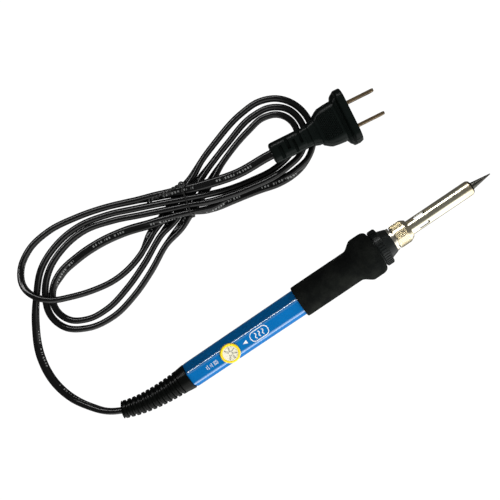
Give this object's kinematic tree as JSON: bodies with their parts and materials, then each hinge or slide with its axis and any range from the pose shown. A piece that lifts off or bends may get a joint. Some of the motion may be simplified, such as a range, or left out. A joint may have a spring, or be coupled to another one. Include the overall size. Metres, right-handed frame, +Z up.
{
  "type": "soldering iron",
  "caption": "Pencil soldering iron with temperature dial on its six-sided handle, foam grip, knurled nut, slotted barrel, conical tip, flat cord tied in a hank and two-blade plug",
  "frame": {"origin": "centre of the base of the iron itself (cord, tie and plug left out), on the surface it lies on", "axes": "+X from the cord boot towards the tip, +Z up, +Y to the iron's left seen from behind"},
  "size_m": [0.2421, 0.1143, 0.0236],
  "materials": {
    "handle_blue": "smooth moulded polycarbonate, satin",
    "grip_foam": "matte closed-cell foam",
    "nose_black": "moulded, lengthwise grooves",
    "steel_plated": "plated steel",
    "screw_steel": "plated steel",
    "nut_nickel": "nickel plated, straight knurl, slightly gold",
    "barrel_steel": "polished stainless tube",
    "tip_iron": "iron-plated copper, darkened by heat",
    "heater_ceramic": "sintered alumina",
    "bush_ceramic": "sintered",
    "lead_nickel": "bare nickel wire",
    "board_green": "solder mask",
    "component_black": "moulded epoxy",
    "capacitor_red": "dipped film capacitor",
    "resistor_tan": "lacquered",
    "pot_blue": "moulded",
    "shaft_white": "moulded",
    "dial_yellow": "moulded, fine edge serrations",
    "label_white": "printed face with dark marks and numbers",
    "boot_black": "soft PVC",
    "retainer_grey": "moulded",
    "copper_leads": "tinned copper strands",
    "cord_black": "flat twin PVC cord",
    "tie_black": "plastic-coated wire",
    "plug_black": "moulded PVC, fine ribbed grip panel",
    "bridge_ivory": "moulded insert",
    "plug_copper": "copper strands",
    "blade_brass": "nickel-plated brass"
  },
  "bodies": {
    "iron": {"handle_shell": "handle_blue", "foam_grip": "grip_foam", "nose_cap": "nose_black", "front_collar": "steel_plated", "collar_screws": "screw_steel", "heater_rod": "heater_ceramic", "heater_bush": "bush_ceramic", "heater_leads": "lead_nickel", "circuit_board": "board_green", "triac": "component_black", "board_capacitor": "capacitor_red", "board_resistors": "resistor_tan", "dial_pot_body": "pot_blue", "strain_relief": "boot_black", "cord_retainer": "retainer_grey", "cord_leads": "copper_leads", "power_cord": "cord_black", "cord_tie": "tie_black", "plug_body": "plug_black", "plug_bridge": "bridge_ivory", "plug_leads": "plug_copper", "plug_blades": "blade_brass"},
    "dial": {"dial_ring": "dial_yellow", "dial_label": "label_white", "dial_shaft": "shaft_white"},
    "barrel": {"barrel": "barrel_steel", "tip": "tip_iron"},
    "nut": {"retaining_nut": "nut_nickel"}
  },
  "joints": [
    {"name": "dial_turn", "type": "hinge", "parent": "iron", "child": "dial", "pos_m": [-0.04653, -0.0014, 0.01492], "axis": [-0.044, -0.1994, 0.9789], "range_deg": [-135, 135]},
    {"name": "barrel_pull", "type": "slide", "parent": "iron", "child": "barrel", "axis": [0.999, 0, 0.0449], "range_m": [0, 0.07]},
    {"name": "nut_turn", "type": "hinge", "parent": "barrel", "child": "nut", "pos_m": [0.05737, 0, 0.01272], "axis": [0.999, 0, 0.0449], "range_deg": [0, 1440]}
  ]
}
